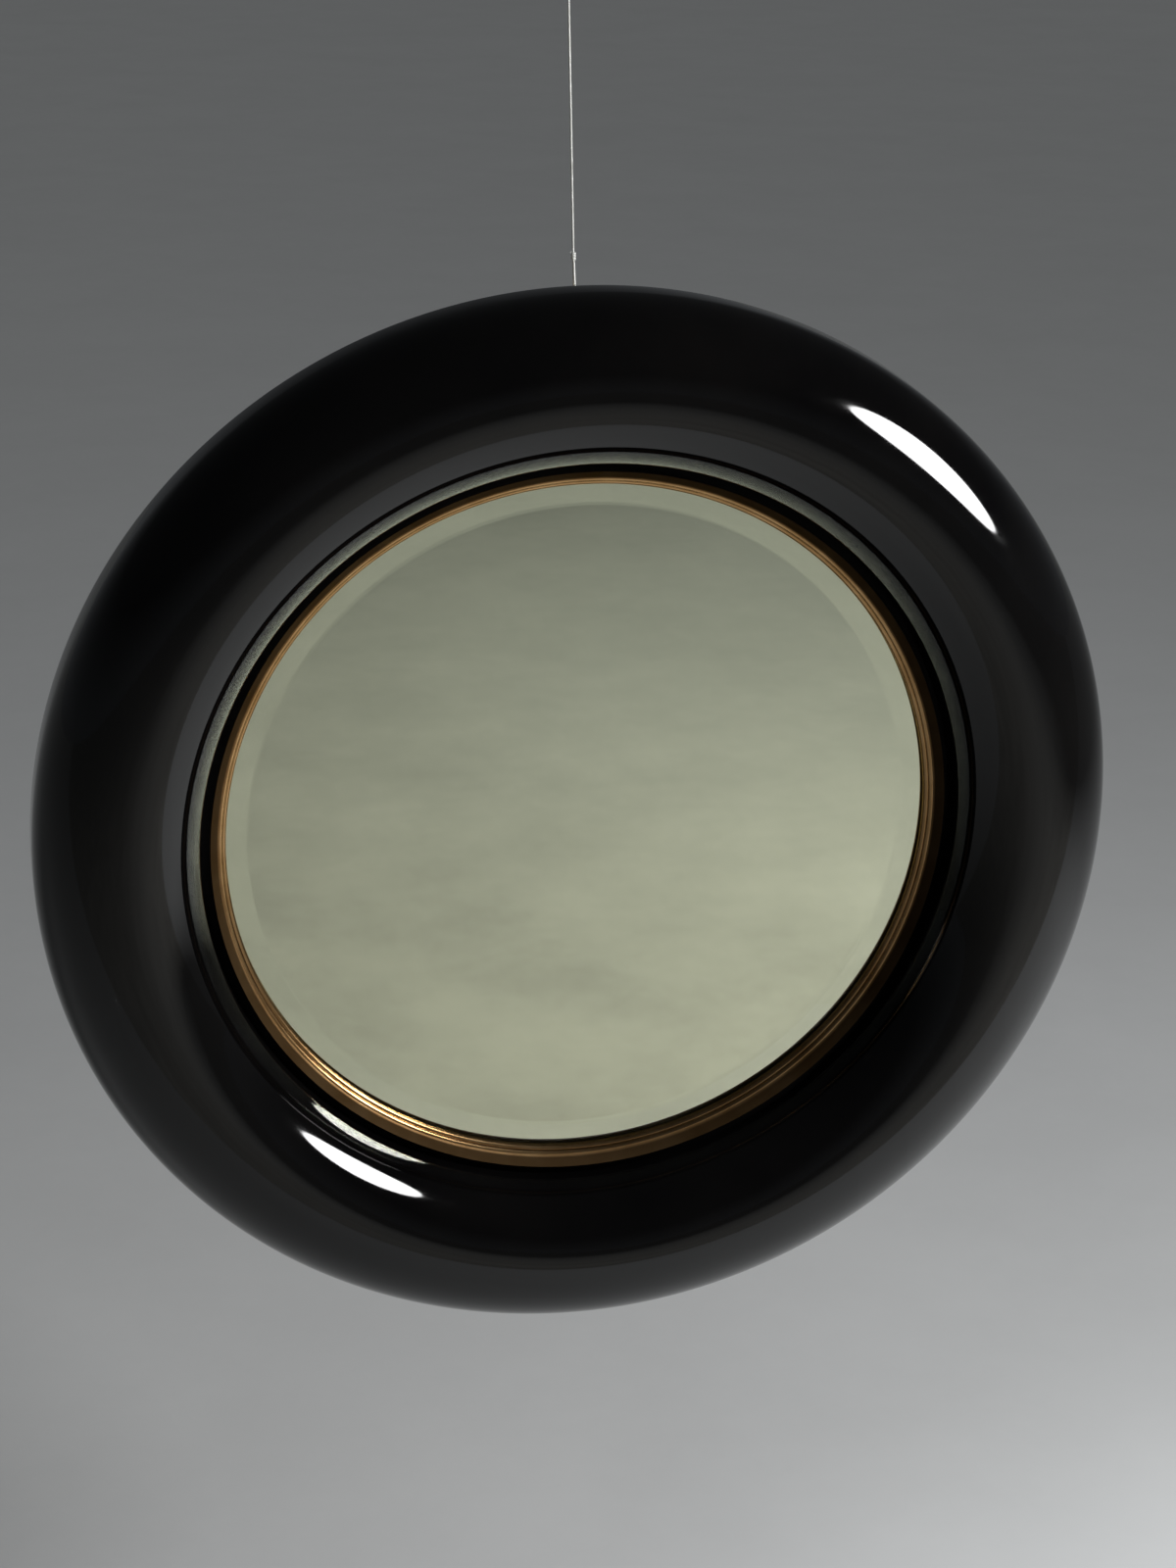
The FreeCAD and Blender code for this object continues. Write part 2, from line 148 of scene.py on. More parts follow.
def new_finish(name):
    """Empty finish: its node tree and its shader."""
    finish = bpy.data.materials.new(name)
    finish.use_nodes = True
    return finish, finish.node_tree, finish.node_tree.nodes["Principled BSDF"]


def add_node(tree, kind, **values):
    """Node of a finish, with values for its inputs by name."""
    made = tree.nodes.new(kind)
    for name, value in values.items():
        made.inputs[name.replace("_", " ")].default_value = value
    return made


def object_noise(tree, scale, detail=4.0, stretch=(1, 1, 1), fineness=0.5):
    """Noise in the object's own space, stretched along its axes; returns the socket of its value."""
    place = tree.nodes.new("ShaderNodeTexCoord")
    mapping = add_node(tree, "ShaderNodeMapping", Scale=stretch)
    noise = add_node(tree, "ShaderNodeTexNoise", Scale=scale, Detail=detail, Roughness=fineness)
    tree.links.new(place.outputs["Object"], mapping.inputs["Vector"])
    tree.links.new(mapping.outputs["Vector"], noise.inputs["Vector"])
    return noise.outputs["Fac"]


def ramp(tree, source, stops):
    """Colour ramp from a value; stops are pairs of place and colour."""
    made = tree.nodes.new("ShaderNodeValToRGB")
    elements = made.color_ramp.elements
    elements[0].position, elements[0].color = stops[0][0], (*stops[0][1], 1)
    elements[1].position, elements[1].color = stops[-1][0], (*stops[-1][1], 1)
    for place, colour in stops[1:-1]:
        elements.new(place).color = (*colour, 1)
    tree.links.new(source, made.inputs["Fac"])
    return made.outputs["Color"]


def spread(tree, source, low, high):
    """Value stretched from the middle of a noise to a range."""
    made = add_node(tree, "ShaderNodeMapRange", From_Min=0.3, From_Max=0.7, To_Min=low, To_Max=high)
    tree.links.new(source, made.inputs["Value"])
    return made.outputs["Result"]


def raise_grain(tree, shader, source, height, strength):
    """Fine relief from a value, its height in metres."""
    bump = add_node(tree, "ShaderNodeBump", Strength=strength, Distance=height)
    tree.links.new(source, bump.inputs["Height"])
    tree.links.new(bump.outputs["Normal"], shader.inputs["Normal"])


roll, vert = start_outline(land_radius, shoulder_depth)
first = vert
vert = run_to(roll, vert, land_radius, land_depth)
vert = run_to(roll, vert, foot_radius, groove_depth)
vert = run_to(roll, vert, foot_radius, foot_depth)
vert = swing(roll, vert, crest_radius, arc_depth, roll_inner_turn, steps=44)
vert = quarter_roll(roll, vert, roll_outer_run, roll_outer_drop, angle=90.0, steps=48)
vert = run_to(roll, vert, outer_radius, back_depth - back_round)
vert = swing(roll, vert, outer_radius - back_round, back_depth - back_round, angle=90.0, steps=6)
vert = run_to(roll, vert, outer_radius - moulding_wall, back_depth)
vert = run_to(roll, vert, outer_radius - moulding_wall, widest_depth)
hollow_run = roll_outer_run - moulding_wall
hollow_drop = roll_outer_drop - moulding_wall
vert = quarter_roll(roll, vert, hollow_run, hollow_drop, angle=-90.0, steps=16)
hollow_radius = roll_inner_radius - moulding_wall
hollow_turn = math.degrees(math.asin((crest_radius - hollow_inner_radius) / hollow_radius))
vert = swing(roll, vert, crest_radius, arc_depth, -hollow_turn, steps=8)
vert = run_to(roll, vert, hollow_inner_radius, back_depth)
vert = run_to(roll, vert, rebate_radius, back_depth)
vert = run_to(roll, vert, rebate_radius, shoulder_depth)
roll.edges.new((vert, first))
lacquered_roll = turn_on_lathe("lacquered_roll", roll)

black_lacquer, tree, shader = new_finish("black_lacquer")
shader.inputs["IOR"].default_value = 1.45
cloud = object_noise(tree, scale=9.0)
tree.links.new(
    ramp(tree, cloud, [(0.3, (0.0012, 0.0011, 0.0012)), (0.7, (0.0030, 0.0027, 0.0026))]),
    shader.inputs["Base Color"],
)
polish = object_noise(tree, scale=38.0, detail=6.0, stretch=(1, 1, 3))
tree.links.new(spread(tree, polish, low=0.035, high=0.065), shader.inputs["Roughness"])
orange_peel = object_noise(tree, scale=130.0, detail=2.0)
raise_grain(tree, shader, orange_peel, height=0.00002, strength=0.008)
lacquered_roll.data.materials.append(black_lacquer)
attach(lacquered_roll, "frame")
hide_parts("front_moulding")

# Gilt slip. A narrow wooden ring between roll and glass, cut with two fine reeds at the sight
# edge and a broad convex face. It is laid with bronze leaf, bright on the reeds. All round the
# broad face the leaf colour is cut to a small share as painted shade, standing in for the dark
# that this face reflects, and old patina also makes the face rougher.
sight_radius = 0.262
slip_face_radius = 0.2743
slip_rise = 0.015
flange_height = 0.007
slip_top = sight_depth - slip_rise
slip_flange = sight_depth - flange_height
slip_wall = 0.0018
reed_count = 2
reed_run = 0.0025
reed_rise = 0.0030
reed_groove = 0.00035
reed_bulge = 0.0008
slip_face_bulge = 0.00035
# Radii where the painted shade and the patina begin and end on the slip, and the share of leaf colour
# left under the painted shade.
shade_and_patina_start = 0.2672
shade_and_patina_end = 0.2690
shade_and_patina_share = 0.12
bright_roughness = 0.22
patina_roughness = 0.75


def bow_to(outline, vert, radius, depth, bulge, steps):
    """Round stretch to a point that stands off its chord by the bulge, towards the viewer."""
    end = Vector((radius, depth, 0))
    chord = end - vert.co
    half = chord.length / 2
    curve_radius = (half * half + bulge * bulge) / (2 * bulge)
    side = Vector((chord.y, -chord.x, 0)).normalized()
    centre = (vert.co + end) / 2 - side * (curve_radius - bulge)
    turn = 2 * math.degrees(math.asin(half / curve_radius))
    return swing(outline, vert, centre.x, centre.y, turn, steps)


slip, vert = start_outline(sight_radius, sight_depth)
first = vert
reed_radius = sight_radius
reed_depth = sight_depth - slip_wall
vert = run_to(slip, vert, reed_radius, reed_depth)
for _ in range(reed_count):
    reed_radius += reed_run
    reed_depth -= reed_rise
    vert = bow_to(slip, vert, reed_radius, reed_depth, reed_bulge, steps=8)
    reed_radius += reed_groove
    vert = run_to(slip, vert, reed_radius, reed_depth)
vert = bow_to(slip, vert, slip_face_radius, slip_top, slip_face_bulge, steps=14)
vert = run_to(slip, vert, slip_face_radius, slip_flange)
vert = run_to(slip, vert, slip_high.x, slip_flange)
vert = run_to(slip, vert, slip_high.x, sight_depth)
slip.edges.new((vert, first))
bronze_slip = turn_on_lathe("bronze_slip", slip)

bronze_gilt, tree, shader = new_finish("bronze_gilt")
shader.inputs["Metallic"].default_value = 1.0
shader.inputs["Specular Tint"].default_value = (0.8, 0.62, 0.42, 1)
place = tree.nodes.new("ShaderNodeTexCoord")
across = add_node(tree, "ShaderNodeMapping", Scale=(1, 0, 1))
ring_radius = tree.nodes.new("ShaderNodeVectorMath")
ring_radius.operation = "LENGTH"
tree.links.new(place.outputs["Object"], across.inputs["Vector"])
tree.links.new(across.outputs["Vector"], ring_radius.inputs[0])
# Painted shade on the broad face: beyond the reeds the leaf colour falls to a small share, and the
# roughness rises as for patina.
shade_and_patina_mask = add_node(
    tree,
    "ShaderNodeMapRange",
    From_Min=shade_and_patina_start,
    From_Max=shade_and_patina_end,
    To_Min=1.0,
    To_Max=shade_and_patina_share,
)
tree.links.new(ring_radius.outputs["Value"], shade_and_patina_mask.inputs["Value"])
leaf = ramp(
    tree,
    object_noise(tree, scale=38.0, detail=6.0),
    [(0.3, (0.34, 0.195, 0.08)), (0.52, (0.42, 0.255, 0.115)), (0.75, (0.50, 0.32, 0.155))],
)
painted_face_shade = tree.nodes.new("ShaderNodeVectorMath")
painted_face_shade.operation = "SCALE"
tree.links.new(leaf, painted_face_shade.inputs[0])
tree.links.new(shade_and_patina_mask.outputs["Result"], painted_face_shade.inputs["Scale"])
tree.links.new(painted_face_shade.outputs["Vector"], shader.inputs["Base Color"])
dulled = add_node(
    tree,
    "ShaderNodeMapRange",
    From_Min=shade_and_patina_share,
    From_Max=1.0,
    To_Min=patina_roughness,
    To_Max=bright_roughness,
)
tree.links.new(shade_and_patina_mask.outputs["Result"], dulled.inputs["Value"])
tree.links.new(dulled.outputs["Result"], shader.inputs["Roughness"])
leaf_grain = object_noise(tree, scale=420.0, detail=5.0)
raise_grain(tree, shader, leaf_grain, height=0.00002, strength=0.15)
bronze_slip.data.materials.append(bronze_gilt)
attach(bronze_slip, "frame")
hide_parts("gilt_slip")

# Slip brads and all other steel fittings. Plain wire nails, a strap, a D ring and turn buttons of
# steel with a dull blue-white zinc plating, and countersunk wood screws whose plating is yellow.


def wear_group():
    """Soft patches and fine specks in object space, for the tone of any handled surface."""
    group = bpy.data.node_groups.new("handled_wear", "ShaderNodeTree")
    group.interface.new_socket("Patch Scale", in_out="INPUT", socket_type="NodeSocketFloat")
    group.interface.new_socket("Speck Scale", in_out="INPUT", socket_type="NodeSocketFloat")
    group.interface.new_socket("Patches", in_out="OUTPUT", socket_type="NodeSocketFloat")
    group.interface.new_socket("Specks", in_out="OUTPUT", socket_type="NodeSocketFloat")
    taken = group.nodes.new("NodeGroupInput")
    given = group.nodes.new("NodeGroupOutput")
    place = group.nodes.new("ShaderNodeTexCoord")
    patches = add_node(group, "ShaderNodeTexNoise", Detail=5.0)
    specks = group.nodes.new("ShaderNodeTexVoronoi")
    group.links.new(place.outputs["Object"], patches.inputs["Vector"])
    group.links.new(place.outputs["Object"], specks.inputs["Vector"])
    group.links.new(taken.outputs["Patch Scale"], patches.inputs["Scale"])
    group.links.new(taken.outputs["Speck Scale"], specks.inputs["Scale"])
    group.links.new(patches.outputs["Fac"], given.inputs["Patches"])
    group.links.new(specks.outputs["Distance"], given.inputs["Specks"])
    return group


handled_wear = wear_group()


def add_wear(tree, patch_scale, speck_scale):
    """Places the shared wear in a finish; returns its two outputs."""
    placed = tree.nodes.new("ShaderNodeGroup")
    placed.node_tree = handled_wear
    placed.inputs["Patch Scale"].default_value = patch_scale
    placed.inputs["Speck Scale"].default_value = speck_scale
    return placed.outputs["Patches"], placed.outputs["Specks"]


def coat(names, finish):
    """Gives CAD nodes their finish."""
    for name in names:
        nodes[name].data.materials.clear()
        nodes[name].data.materials.append(finish)


zinc, tree, shader = new_finish("zinc_plated_steel")
shader.inputs["Metallic"].default_value = 0.6
patches, specks = add_wear(tree, patch_scale=120.0, speck_scale=900.0)
plating = ramp(
    tree,
    patches,
    [(0.3, (0.55, 0.56, 0.57)), (0.6, (0.66, 0.67, 0.67)), (0.75, (0.72, 0.71, 0.67))],
)
tree.links.new(plating, shader.inputs["Base Color"])
tree.links.new(spread(tree, patches, low=0.24, high=0.38), shader.inputs["Roughness"])
raise_grain(tree, shader, specks, height=0.00003, strength=0.08)
buttons = ["turn_button_%d" % (i + 1) for i in range(6)]
coat(buttons + ["hanger_plate", "hanger_ring", "slip_brads"], zinc)

screw_zinc, tree, shader = new_finish("yellow_zinc_screws")
shader.inputs["Metallic"].default_value = 0.8
patches, specks = add_wear(tree, patch_scale=350.0, speck_scale=2200.0)
plating = ramp(
    tree,
    patches,
    [(0.3, (0.42, 0.27, 0.10)), (0.55, (0.58, 0.42, 0.18)), (0.75, (0.60, 0.50, 0.30))],
)
tree.links.new(plating, shader.inputs["Base Color"])
tree.links.new(spread(tree, patches, low=0.28, high=0.45), shader.inputs["Roughness"])
raise_grain(tree, shader, specks, height=0.00002, strength=0.1)
coat(["rear_ring_screws", "button_screws", "hanger_screws", "bumper_screws"], screw_zinc)

# Mirror plate. Five millimetre float glass, cut round, then ground and polished to a wide
# shallow bevel that runs in under the slip.
glass_low, glass_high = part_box("mirror_glass")
glass_radius = glass_high.x
glass_front = glass_low.y
bevel_width = 0.028
bevel_drop = 0.002
silver_gap = 0.00005
bevel_radius = glass_radius - bevel_width
bevel_edge = glass_front + bevel_drop
glass_back = glass_high.y - silver_gap

plate, vert = start_outline(0, glass_back)
vert = run_to(plate, vert, glass_radius, glass_back)
vert = run_to(plate, vert, glass_radius, bevel_edge)
vert = run_to(plate, vert, bevel_radius, glass_front)
vert = run_to(plate, vert, 0, glass_front)
bevelled_plate = turn_on_lathe("bevelled_plate", plate, sharp_angle=2.5)

plate_glass, tree, shader = new_finish("plate_glass")
shader.inputs["Base Color"].default_value = (0.95, 0.985, 0.965, 1)
shader.inputs["Transmission Weight"].default_value = 1.0
shader.inputs["IOR"].default_value = 1.52
smears = object_noise(tree, scale=14.0, detail=5.0)
tree.links.new(spread(tree, smears, low=0.0, high=0.012), shader.inputs["Roughness"])
bevelled_plate.data.materials.append(plate_glass)
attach(bevelled_plate, "frame")
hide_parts("mirror_glass")

# Silver coat. The rear face of the plate carries a film of silver under coats of grey paint. Seen
# through the glass it is the mirror, and from behind it is dull paint.
silvering, tree, shader = new_finish("silvering")
facing = tree.nodes.new("ShaderNodeNewGeometry")
parts = tree.nodes.new("ShaderNodeSeparateXYZ")
is_front = add_node(tree, "ShaderNodeMapRange", From_Min=-0.4, From_Max=-0.6)
tree.links.new(facing.outputs["Normal"], parts.inputs["Vector"])
tree.links.new(parts.outputs["Y"], is_front.inputs["Value"])
brush_marks = object_noise(tree, scale=30.0)
paint = ramp(tree, brush_marks, [(0.3, (0.20, 0.21, 0.22)), (0.7, (0.27, 0.28, 0.28))])
tone = tree.nodes.new("ShaderNodeMix")
tone.data_type = "RGBA"
tone.inputs["B"].default_value = (0.90, 0.875, 0.70, 1)
tree.links.new(is_front.outputs["Result"], tone.inputs["Factor"])
tree.links.new(paint, tone.inputs["A"])
tree.links.new(tone.outputs["Result"], shader.inputs["Base Color"])
tree.links.new(is_front.outputs["Result"], shader.inputs["Metallic"])
dullness = add_node(tree, "ShaderNodeMapRange", To_Min=0.6, To_Max=0.0)
tree.links.new(is_front.outputs["Result"], dullness.inputs["Value"])
tree.links.new(dullness.outputs["Result"], shader.inputs["Roughness"])
coat(["silver_coat"], silvering)

# Felt ring. A thin strip of black wool felt is glued to the back of the slip, so that the bevel
# of the plate rests on something soft.
felt, tree, shader = new_finish("black_felt")
shader.inputs["Sheen Weight"].default_value = 0.4
patches, specks = add_wear(tree, patch_scale=300.0, speck_scale=1500.0)
wool = ramp(tree, patches, [(0.3, (0.006, 0.006, 0.006)), (0.7, (0.02, 0.019, 0.018))])
tree.links.new(wool, shader.inputs["Base Color"])
tree.links.new(spread(tree, patches, low=0.85, high=1.0), shader.inputs["Roughness"])
raise_grain(tree, shader, specks, height=0.0002, strength=0.6)
coat(["felt_ring"], felt)

# Edge blocks. Small blocks of pressed cork fill the space round the edge of the plate and keep it
# in the middle of the rebate.
cork, tree, shader = new_finish("cork")
patches, specks = add_wear(tree, patch_scale=250.0, speck_scale=500.0)
granules = ramp(
    tree,
    specks,
    [(0.1, (0.16, 0.085, 0.04)), (0.4, (0.42, 0.26, 0.13)), (0.8, (0.52, 0.35, 0.19))],
)
tree.links.new(granules, shader.inputs["Base Color"])
tree.links.new(spread(tree, patches, low=0.75, high=0.95), shader.inputs["Roughness"])
raise_grain(tree, shader, specks, height=0.0003, strength=0.6)
coat(["edge_blocks"], cork)

# Card. A stiff sheet of brown-grey card lies between the painted silvering and the board, and
# keeps grit off the paint.
card, tree, shader = new_finish("grey_card")
patches, specks = add_wear(tree, patch_scale=60.0, speck_scale=1200.0)
pulp = ramp(tree, patches, [(0.3, (0.30, 0.24, 0.17)), (0.7, (0.40, 0.33, 0.24))])
tree.links.new(pulp, shader.inputs["Base Color"])
tree.links.new(spread(tree, specks, low=0.8, high=0.95), shader.inputs["Roughness"])
raise_grain(tree, shader, specks, height=0.0001, strength=0.4)
coat(["card_sheet"], card)

# Backing board and rear ring. A birch plywood disc closes the back, and a plywood ring is screwed
# over the hollow of the roll to carry the fittings. Their cut edges show the plies.
ply_thickness = 0.0013
wave_radians = 20
plywood, tree, shader = new_finish("birch_plywood")
grain = object_noise(tree, scale=7.0, detail=10.0, stretch=(26, 1, 1.4), fineness=0.74)
figure = object_noise(tree, scale=3.5, detail=6.0, stretch=(5, 1, 0.8))
veneer = ramp(
    tree,
    grain,
    [(0.3, (0.40, 0.255, 0.13)), (0.5, (0.52, 0.36, 0.20)), (0.72, (0.60, 0.44, 0.27))],
)
shade = ramp(tree, figure, [(0.3, (0.80, 0.76, 0.70)), (0.7, (1.0, 1.0, 1.0))])
face_tone = tree.nodes.new("ShaderNodeMix")
face_tone.data_type = "RGBA"
face_tone.blend_type = "MULTIPLY"
face_tone.inputs["Factor"].default_value = 1.0
tree.links.new(veneer, face_tone.inputs["A"])
tree.links.new(shade, face_tone.inputs["B"])
place = tree.nodes.new("ShaderNodeTexCoord")
ply_waves = math.tau / (wave_radians * ply_thickness * 2)
layers = add_node(tree, "ShaderNodeTexWave", Scale=ply_waves, Distortion=0.6)
layers.bands_direction = "Y"
layers.wave_profile = "SIN"
tree.links.new(place.outputs["Object"], layers.inputs["Vector"])
edge_tone = ramp(tree, layers.outputs["Fac"], [(0.35, (0.23, 0.135, 0.065)), (0.65, (0.56, 0.40, 0.23))])
facing = tree.nodes.new("ShaderNodeNewGeometry")
parts = tree.nodes.new("ShaderNodeSeparateXYZ")
steepness = tree.nodes.new("ShaderNodeMath")
steepness.operation = "ABSOLUTE"
tree.links.new(facing.outputs["Normal"], parts.inputs["Vector"])
tree.links.new(parts.outputs["Y"], steepness.inputs["Value"])
board_tone = tree.nodes.new("ShaderNodeMix")
board_tone.data_type = "RGBA"
tree.links.new(steepness.outputs["Value"], board_tone.inputs["Factor"])
tree.links.new(edge_tone, board_tone.inputs["A"])
tree.links.new(face_tone.outputs["Result"], board_tone.inputs["B"])
tree.links.new(board_tone.outputs["Result"], shader.inputs["Base Color"])
tree.links.new(spread(tree, grain, low=0.55, high=0.75), shader.inputs["Roughness"])
raise_grain(tree, shader, grain, height=0.0002, strength=0.25)
coat(["backing_board", "rear_ring"], plywood)

# Wall bumpers. Four short cones of moulded black rubber, each held by a screw sunk in its middle.
# They keep the hanging fittings off the wall.
rubber, tree, shader = new_finish("bumper_rubber")
patches, specks = add_wear(tree, patch_scale=90.0, speck_scale=1100.0)
soot = ramp(tree, patches, [(0.3, (0.012, 0.012, 0.012)), (0.7, (0.028, 0.027, 0.026))])
tree.links.new(soot, shader.inputs["Base Color"])
tree.links.new(spread(tree, patches, low=0.62, high=0.82), shader.inputs["Roughness"])
raise_grain(tree, shader, specks, height=0.0001, strength=0.35)
coat(["bumper_%d" % (i + 1) for i in range(4)], rubber)

# Hanging line. One length of clear nylon line passes round the bow of the D ring and is tied off
# in a wrapped knot above the frame; it ends over the mirror in a loop with a second knot.
line_lean = math.radians(7.2)
line_up = Vector((0, math.sin(line_lean), math.cos(line_lean)))
line_back = Vector((0, math.cos(line_lean), -math.sin(line_lean)))
bow_centre = Vector((0, -0.0012933, 0.3718423))
line_diameter = 0.0015
line_offset = 0.00255
line_route = [
    (0.0013, 0.0399),
    (-0.0018, 0.0092),
    (-0.00255, 0.00106),
    (-0.00255, -0.00106),
    (-0.00106, -0.00255),
    (0.00106, -0.00255),
    (0.00255, -0.00106),
    (0.00255, 0.00106),
    (0.00255, 0.0100),
    (0.00255, 0.1300),
    (0.00255, 0.2493),
    (0.00255, 0.2593),
    (-0.00214, 0.2640),
    (-0.00876, 0.2640),
    (-0.01345, 0.2593),
    (-0.01345, 0.25344),
    (-0.0060, 0.24298),
    (0.0013, 0.2335),
]
line_points = [bow_centre + line_back * back + line_up * up for back, up in line_route]
line_curve = bpy.data.curves.new("hanging_line_curve", "CURVE")
line_curve.dimensions = "3D"
line_curve.bevel_depth = line_diameter / 2
line_curve.bevel_resolution = 5
line_curve.resolution_u = 10
line_curve.use_fill_caps = True
strand = line_curve.splines.new("NURBS")
strand.points.add(len(line_points) - 1)
for control, point in zip(strand.points, line_points):
    control.co = (*point, 1)
strand.order_u = 3
strand.use_endpoint_u = True
strand.resolution_u = 10
nylon_strand = bpy.data.objects.new("nylon_strand", line_curve)
nylon_strand.visible_glossy = False
bpy.context.scene.collection.objects.link(nylon_strand)

nylon, tree, shader = new_finish("nylon_line")
shader.inputs["IOR"].default_value = 1.53
shader.inputs["Transmission Weight"].default_value = 0.2
patches = add_wear(tree, patch_scale=140.0, speck_scale=900.0)[0]
milky = ramp(tree, patches, [(0.3, (0.80, 0.81, 0.75)), (0.7, (0.93, 0.94, 0.90))])
tree.links.new(milky, shader.inputs["Base Color"])
tree.links.new(spread(tree, patches, low=0.12, high=0.3), shader.inputs["Roughness"])
line_curve.materials.append(nylon)

# Knots. The end of the line is wound four and a half times round the standing part and drawn
# tight, once above the frame and once under the loop.
lower_knot_height = 0.0434
upper_knot_height = 0.2300
wrap_radius = 0.0013
wrap_thickness = 0.0011
wrap_pitch = 0.00115
wrap_turns = 4.5
wrap_steps = 24


def wrapped_knot(name, height):
    """Turns of line wound tightly round the straight line, as one helix with closed ends."""
    knot = bmesh.new()
    length = wrap_pitch * wrap_turns
    to_line = Matrix.Translation(bow_centre + line_back * line_offset + line_up * (height - length / 2))
    to_line @= Vector((0, 0, 1)).rotation_difference(line_up).to_matrix().to_4x4()
    section = Matrix.Translation((wrap_radius, 0, 0)) @ Matrix.Rotation(math.pi / 2, 4, "X")
    bmesh.ops.create_circle(knot, segments=14, radius=wrap_thickness / 2, matrix=section)
    start_edges = knot.edges[:]
    steps = int(wrap_turns * wrap_steps)
    made = bmesh.ops.spin(
        knot,
        geom=start_edges,
        cent=(0, 0, 0),
        axis=(0, 0, 1),
        dvec=(0, 0, length / steps),
        angle=math.tau * wrap_turns,
        steps=steps,
    )
    end_edges = [edge for edge in made["geom_last"] if isinstance(edge, bmesh.types.BMEdge)]
    bmesh.ops.contextual_create(knot, geom=start_edges)
    bmesh.ops.contextual_create(knot, geom=end_edges)
    bmesh.ops.recalc_face_normals(knot, faces=knot.faces[:])
    bmesh.ops.transform(knot, matrix=to_line, verts=knot.verts[:])
    piece = piece_from(name, knot, sharp_angle=50.0)
    piece.data.materials.append(nylon)
    piece.visible_glossy = False
    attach(piece, "line")
    return piece


lower_wraps = wrapped_knot("lower_wraps", lower_knot_height)
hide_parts("lower_knot")
upper_wraps = wrapped_knot("upper_wraps", upper_knot_height)
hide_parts("upper_knot")
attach(nylon_strand, "line")
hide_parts("hanging_line")

# Studio. The mirror hangs over a wide sheet of pale paper that ends a step in front of it, on a
# pale floor. Each sheet glows in a painted pool of light, which the camera and reflections see.
# One soft lamp stands high on the right, a second one behind, and the room is dim.
floor_drop = 0.9
floor_half = 20.0
paper_reach = 1.18
paper_lift = 0.001
low_glow = 0.10
high_glow = 0.03
dusk_height = 0.3


def join(tree, operation, first, second):
    """Sum, product or other result of two values."""
    made = tree.nodes.new("ShaderNodeMath")
    made.operation = operation
    tree.links.new(first, made.inputs[0])
    tree.links.new(second, made.inputs[1])
    return made.outputs["Value"]


def lay_sheet(name, centre_y, drop, tone, mottling, painted_pool_centre, painted_pool_edge, painted_pool_glow):
    """Square sheet of the studio floor, softly mottled, with a painted pool of light: it glows for
    camera and reflected rays, most at the pool's centre.
    """
    builder = bmesh.new()
    place = Matrix.Translation((0, centre_y, -drop))
    bmesh.ops.create_grid(builder, x_segments=1, y_segments=1, size=floor_half, matrix=place)
    sheet = piece_from(name, builder, sharp_angle=30.0)
    finish, tree, shader = new_finish(name)
    shader.inputs["Roughness"].default_value = 0.9
    shader.inputs["Specular IOR Level"].default_value = 0.1
    pale = [value * (1 + mottling) for value in tone]
    dull = [value * (1 - mottling) for value in tone]
    clouds = object_noise(tree, scale=3.2, detail=10.0, fineness=0.68)
    tree.links.new(ramp(tree, clouds, [(0.35, dull), (0.65, pale)]), shader.inputs["Base Color"])
    place = tree.nodes.new("ShaderNodeTexCoord")
    to_centre = (-painted_pool_centre[0], -painted_pool_centre[1], 0)
    flat = add_node(tree, "ShaderNodeMapping", Location=to_centre, Scale=(1, 1, 0))
    distance = tree.nodes.new("ShaderNodeVectorMath")
    distance.operation = "LENGTH"
    painted_pool = add_node(
        tree,
        "ShaderNodeMapRange",
        From_Min=painted_pool_edge[0],
        From_Max=painted_pool_edge[1],
        To_Min=painted_pool_glow[0],
        To_Max=painted_pool_glow[1],
    )
    painted_pool.interpolation_type = "SMOOTHSTEP"
    tree.links.new(place.outputs["Object"], flat.inputs["Vector"])
    tree.links.new(flat.outputs["Vector"], distance.inputs[0])
    tree.links.new(distance.outputs["Value"], painted_pool.inputs["Value"])
    # Painted pool of light: the sheet glows for camera, glossy and transmission rays, fading out from
    # the pool's centre.
    light_path = tree.nodes.new("ShaderNodeLightPath")
    reflected = join(
        tree, "MAXIMUM", light_path.outputs["Is Glossy Ray"], light_path.outputs["Is Transmission Ray"]
    )
    seen = join(tree, "MAXIMUM", light_path.outputs["Is Camera Ray"], reflected)
    painted_glow = join(tree, "MULTIPLY", seen, painted_pool.outputs["Result"])
    tree.links.new(painted_glow, shader.inputs["Emission Strength"])
    shader.inputs["Emission Color"].default_value = (0.97, 1.0, 1.0, 1)
    sheet.data.materials.append(finish)
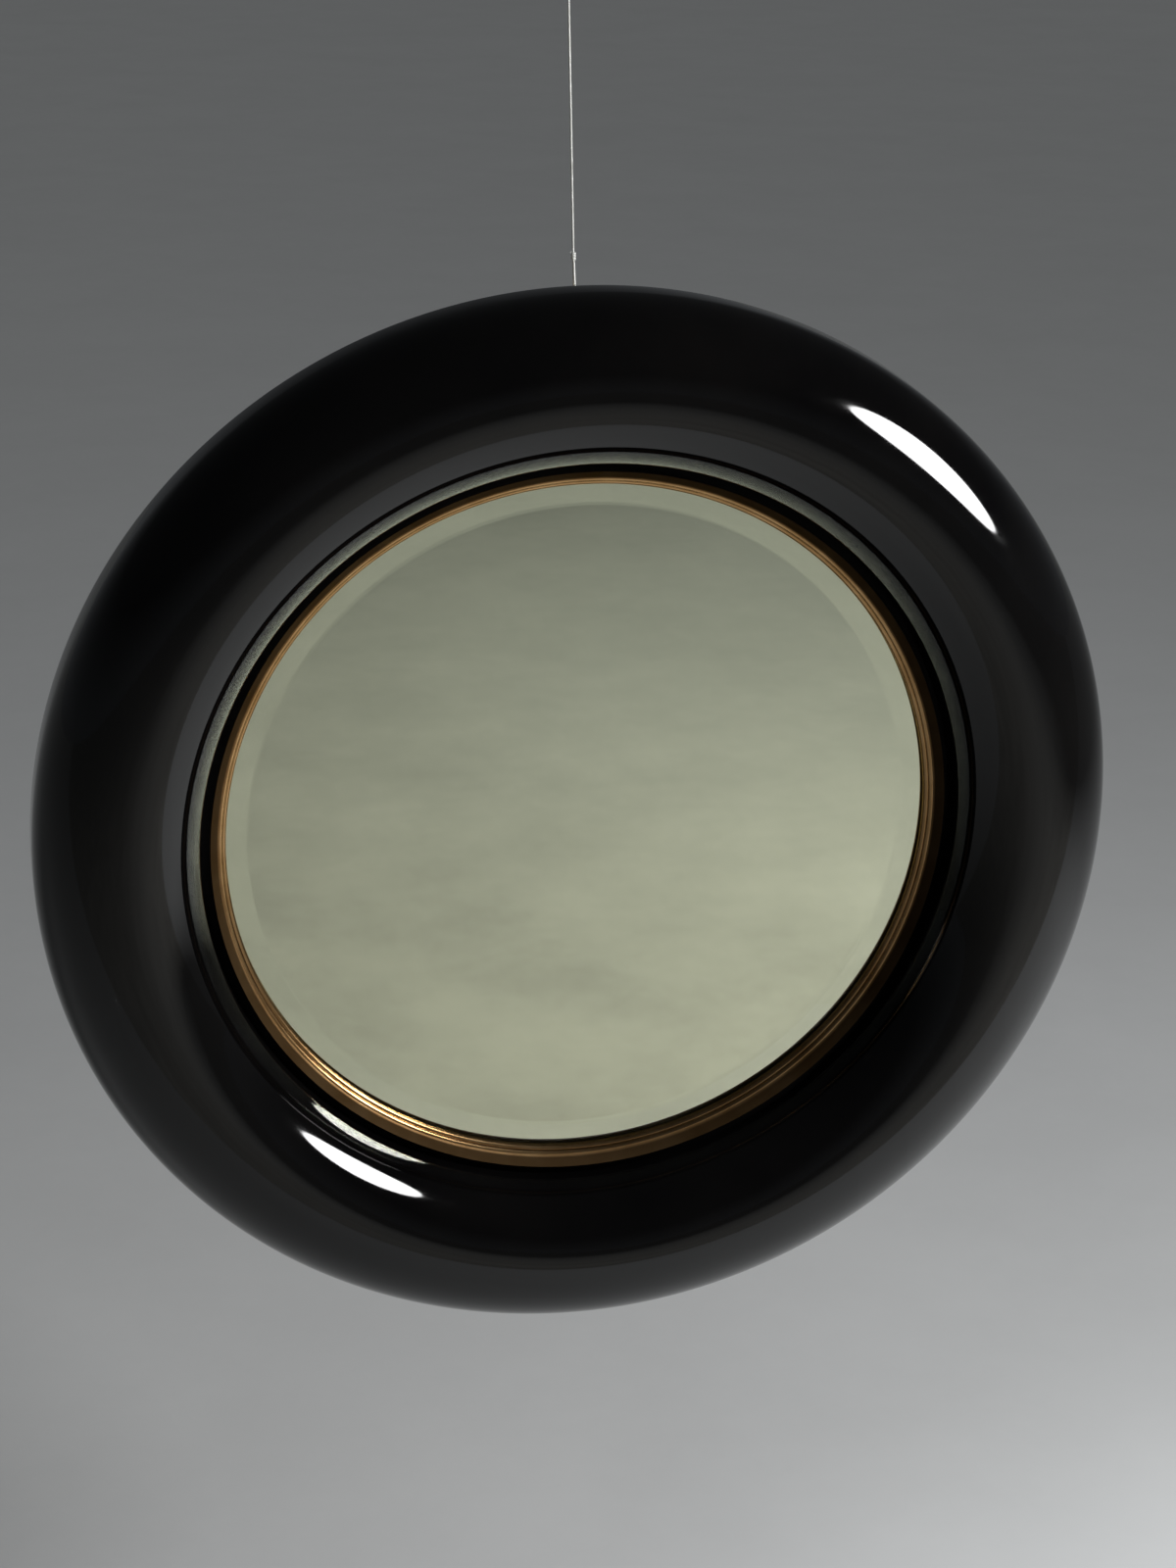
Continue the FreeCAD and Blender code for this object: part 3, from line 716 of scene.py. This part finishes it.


# Each sheet gets its own painted pool of light.
lay_sheet(
    "studio_floor",
    centre_y=0,
    drop=floor_drop,
    tone=(0.44, 0.43, 0.395),
    mottling=0.14,
    painted_pool_centre=(1.3, -2.8),
    painted_pool_edge=(0.3, 2.0),
    painted_pool_glow=(0.20, 0.05),
)
lay_sheet(
    "paper_sheet",
    centre_y=floor_half - paper_reach,
    drop=floor_drop - paper_lift,
    tone=(0.54, 0.55, 0.555),
    mottling=0.03,
    painted_pool_centre=(1.05, -0.75),
    painted_pool_edge=(0.5, 1.5),
    painted_pool_glow=(0.30, 0.07),
)

key_place = Vector((1.94, -1.20, 0.96))
key_target = Vector((0, -0.05, 0))
key_light = bpy.data.lights.new("key_light", "AREA")
key_light.shape = "ELLIPSE"
key_light.size = 1.0
key_light.size_y = 1.0
key_light.energy = 80.0
key_lamp = bpy.data.objects.new("key_lamp", key_light)
key_lamp.location = key_place
key_lamp.rotation_euler = (key_target - key_place).to_track_quat("-Z", "Y").to_euler()
bpy.context.scene.collection.objects.link(key_lamp)

back_light = bpy.data.lights.new("back_light", "SUN")
back_light.energy = 2.2
back_light.angle = math.radians(12)
back_lamp = bpy.data.objects.new("back_lamp", back_light)
back_lamp.location = (0, 3, 0.2)
back_lamp.rotation_euler = (math.radians(-87), 0, 0)
back_lamp.visible_glossy = False
bpy.context.scene.collection.objects.link(back_lamp)

world = bpy.data.worlds.new("studio")
world.use_nodes = True
room = world.node_tree.nodes["Background"]
room.inputs["Color"].default_value = (0.9, 0.95, 1.0, 1)
heading = world.node_tree.nodes.new("ShaderNodeTexCoord")
climb = world.node_tree.nodes.new("ShaderNodeSeparateXYZ")
dusk = add_node(
    world.node_tree, "ShaderNodeMapRange", From_Max=dusk_height, To_Min=low_glow, To_Max=high_glow
)
world.node_tree.links.new(heading.outputs["Generated"], climb.inputs["Vector"])
world.node_tree.links.new(climb.outputs["Z"], dusk.inputs["Value"])
world.node_tree.links.new(dusk.outputs["Result"], room.inputs["Strength"])
bpy.context.scene.world = world

camera_data = bpy.data.cameras.new("camera")
camera_data.sensor_width = 36.0
camera_data.lens = 74.25
camera_data.clip_end = 100.0
camera = bpy.data.objects.new("camera", camera_data)
camera.location = (-0.4641, -2.1889, 0.9108)
camera.rotation_euler = [math.radians(turn) for turn in (68.259, -0.527, -12.082)]
bpy.context.scene.collection.objects.link(camera)
bpy.context.scene.camera = camera
bpy.context.scene.view_settings.view_transform = "Standard"
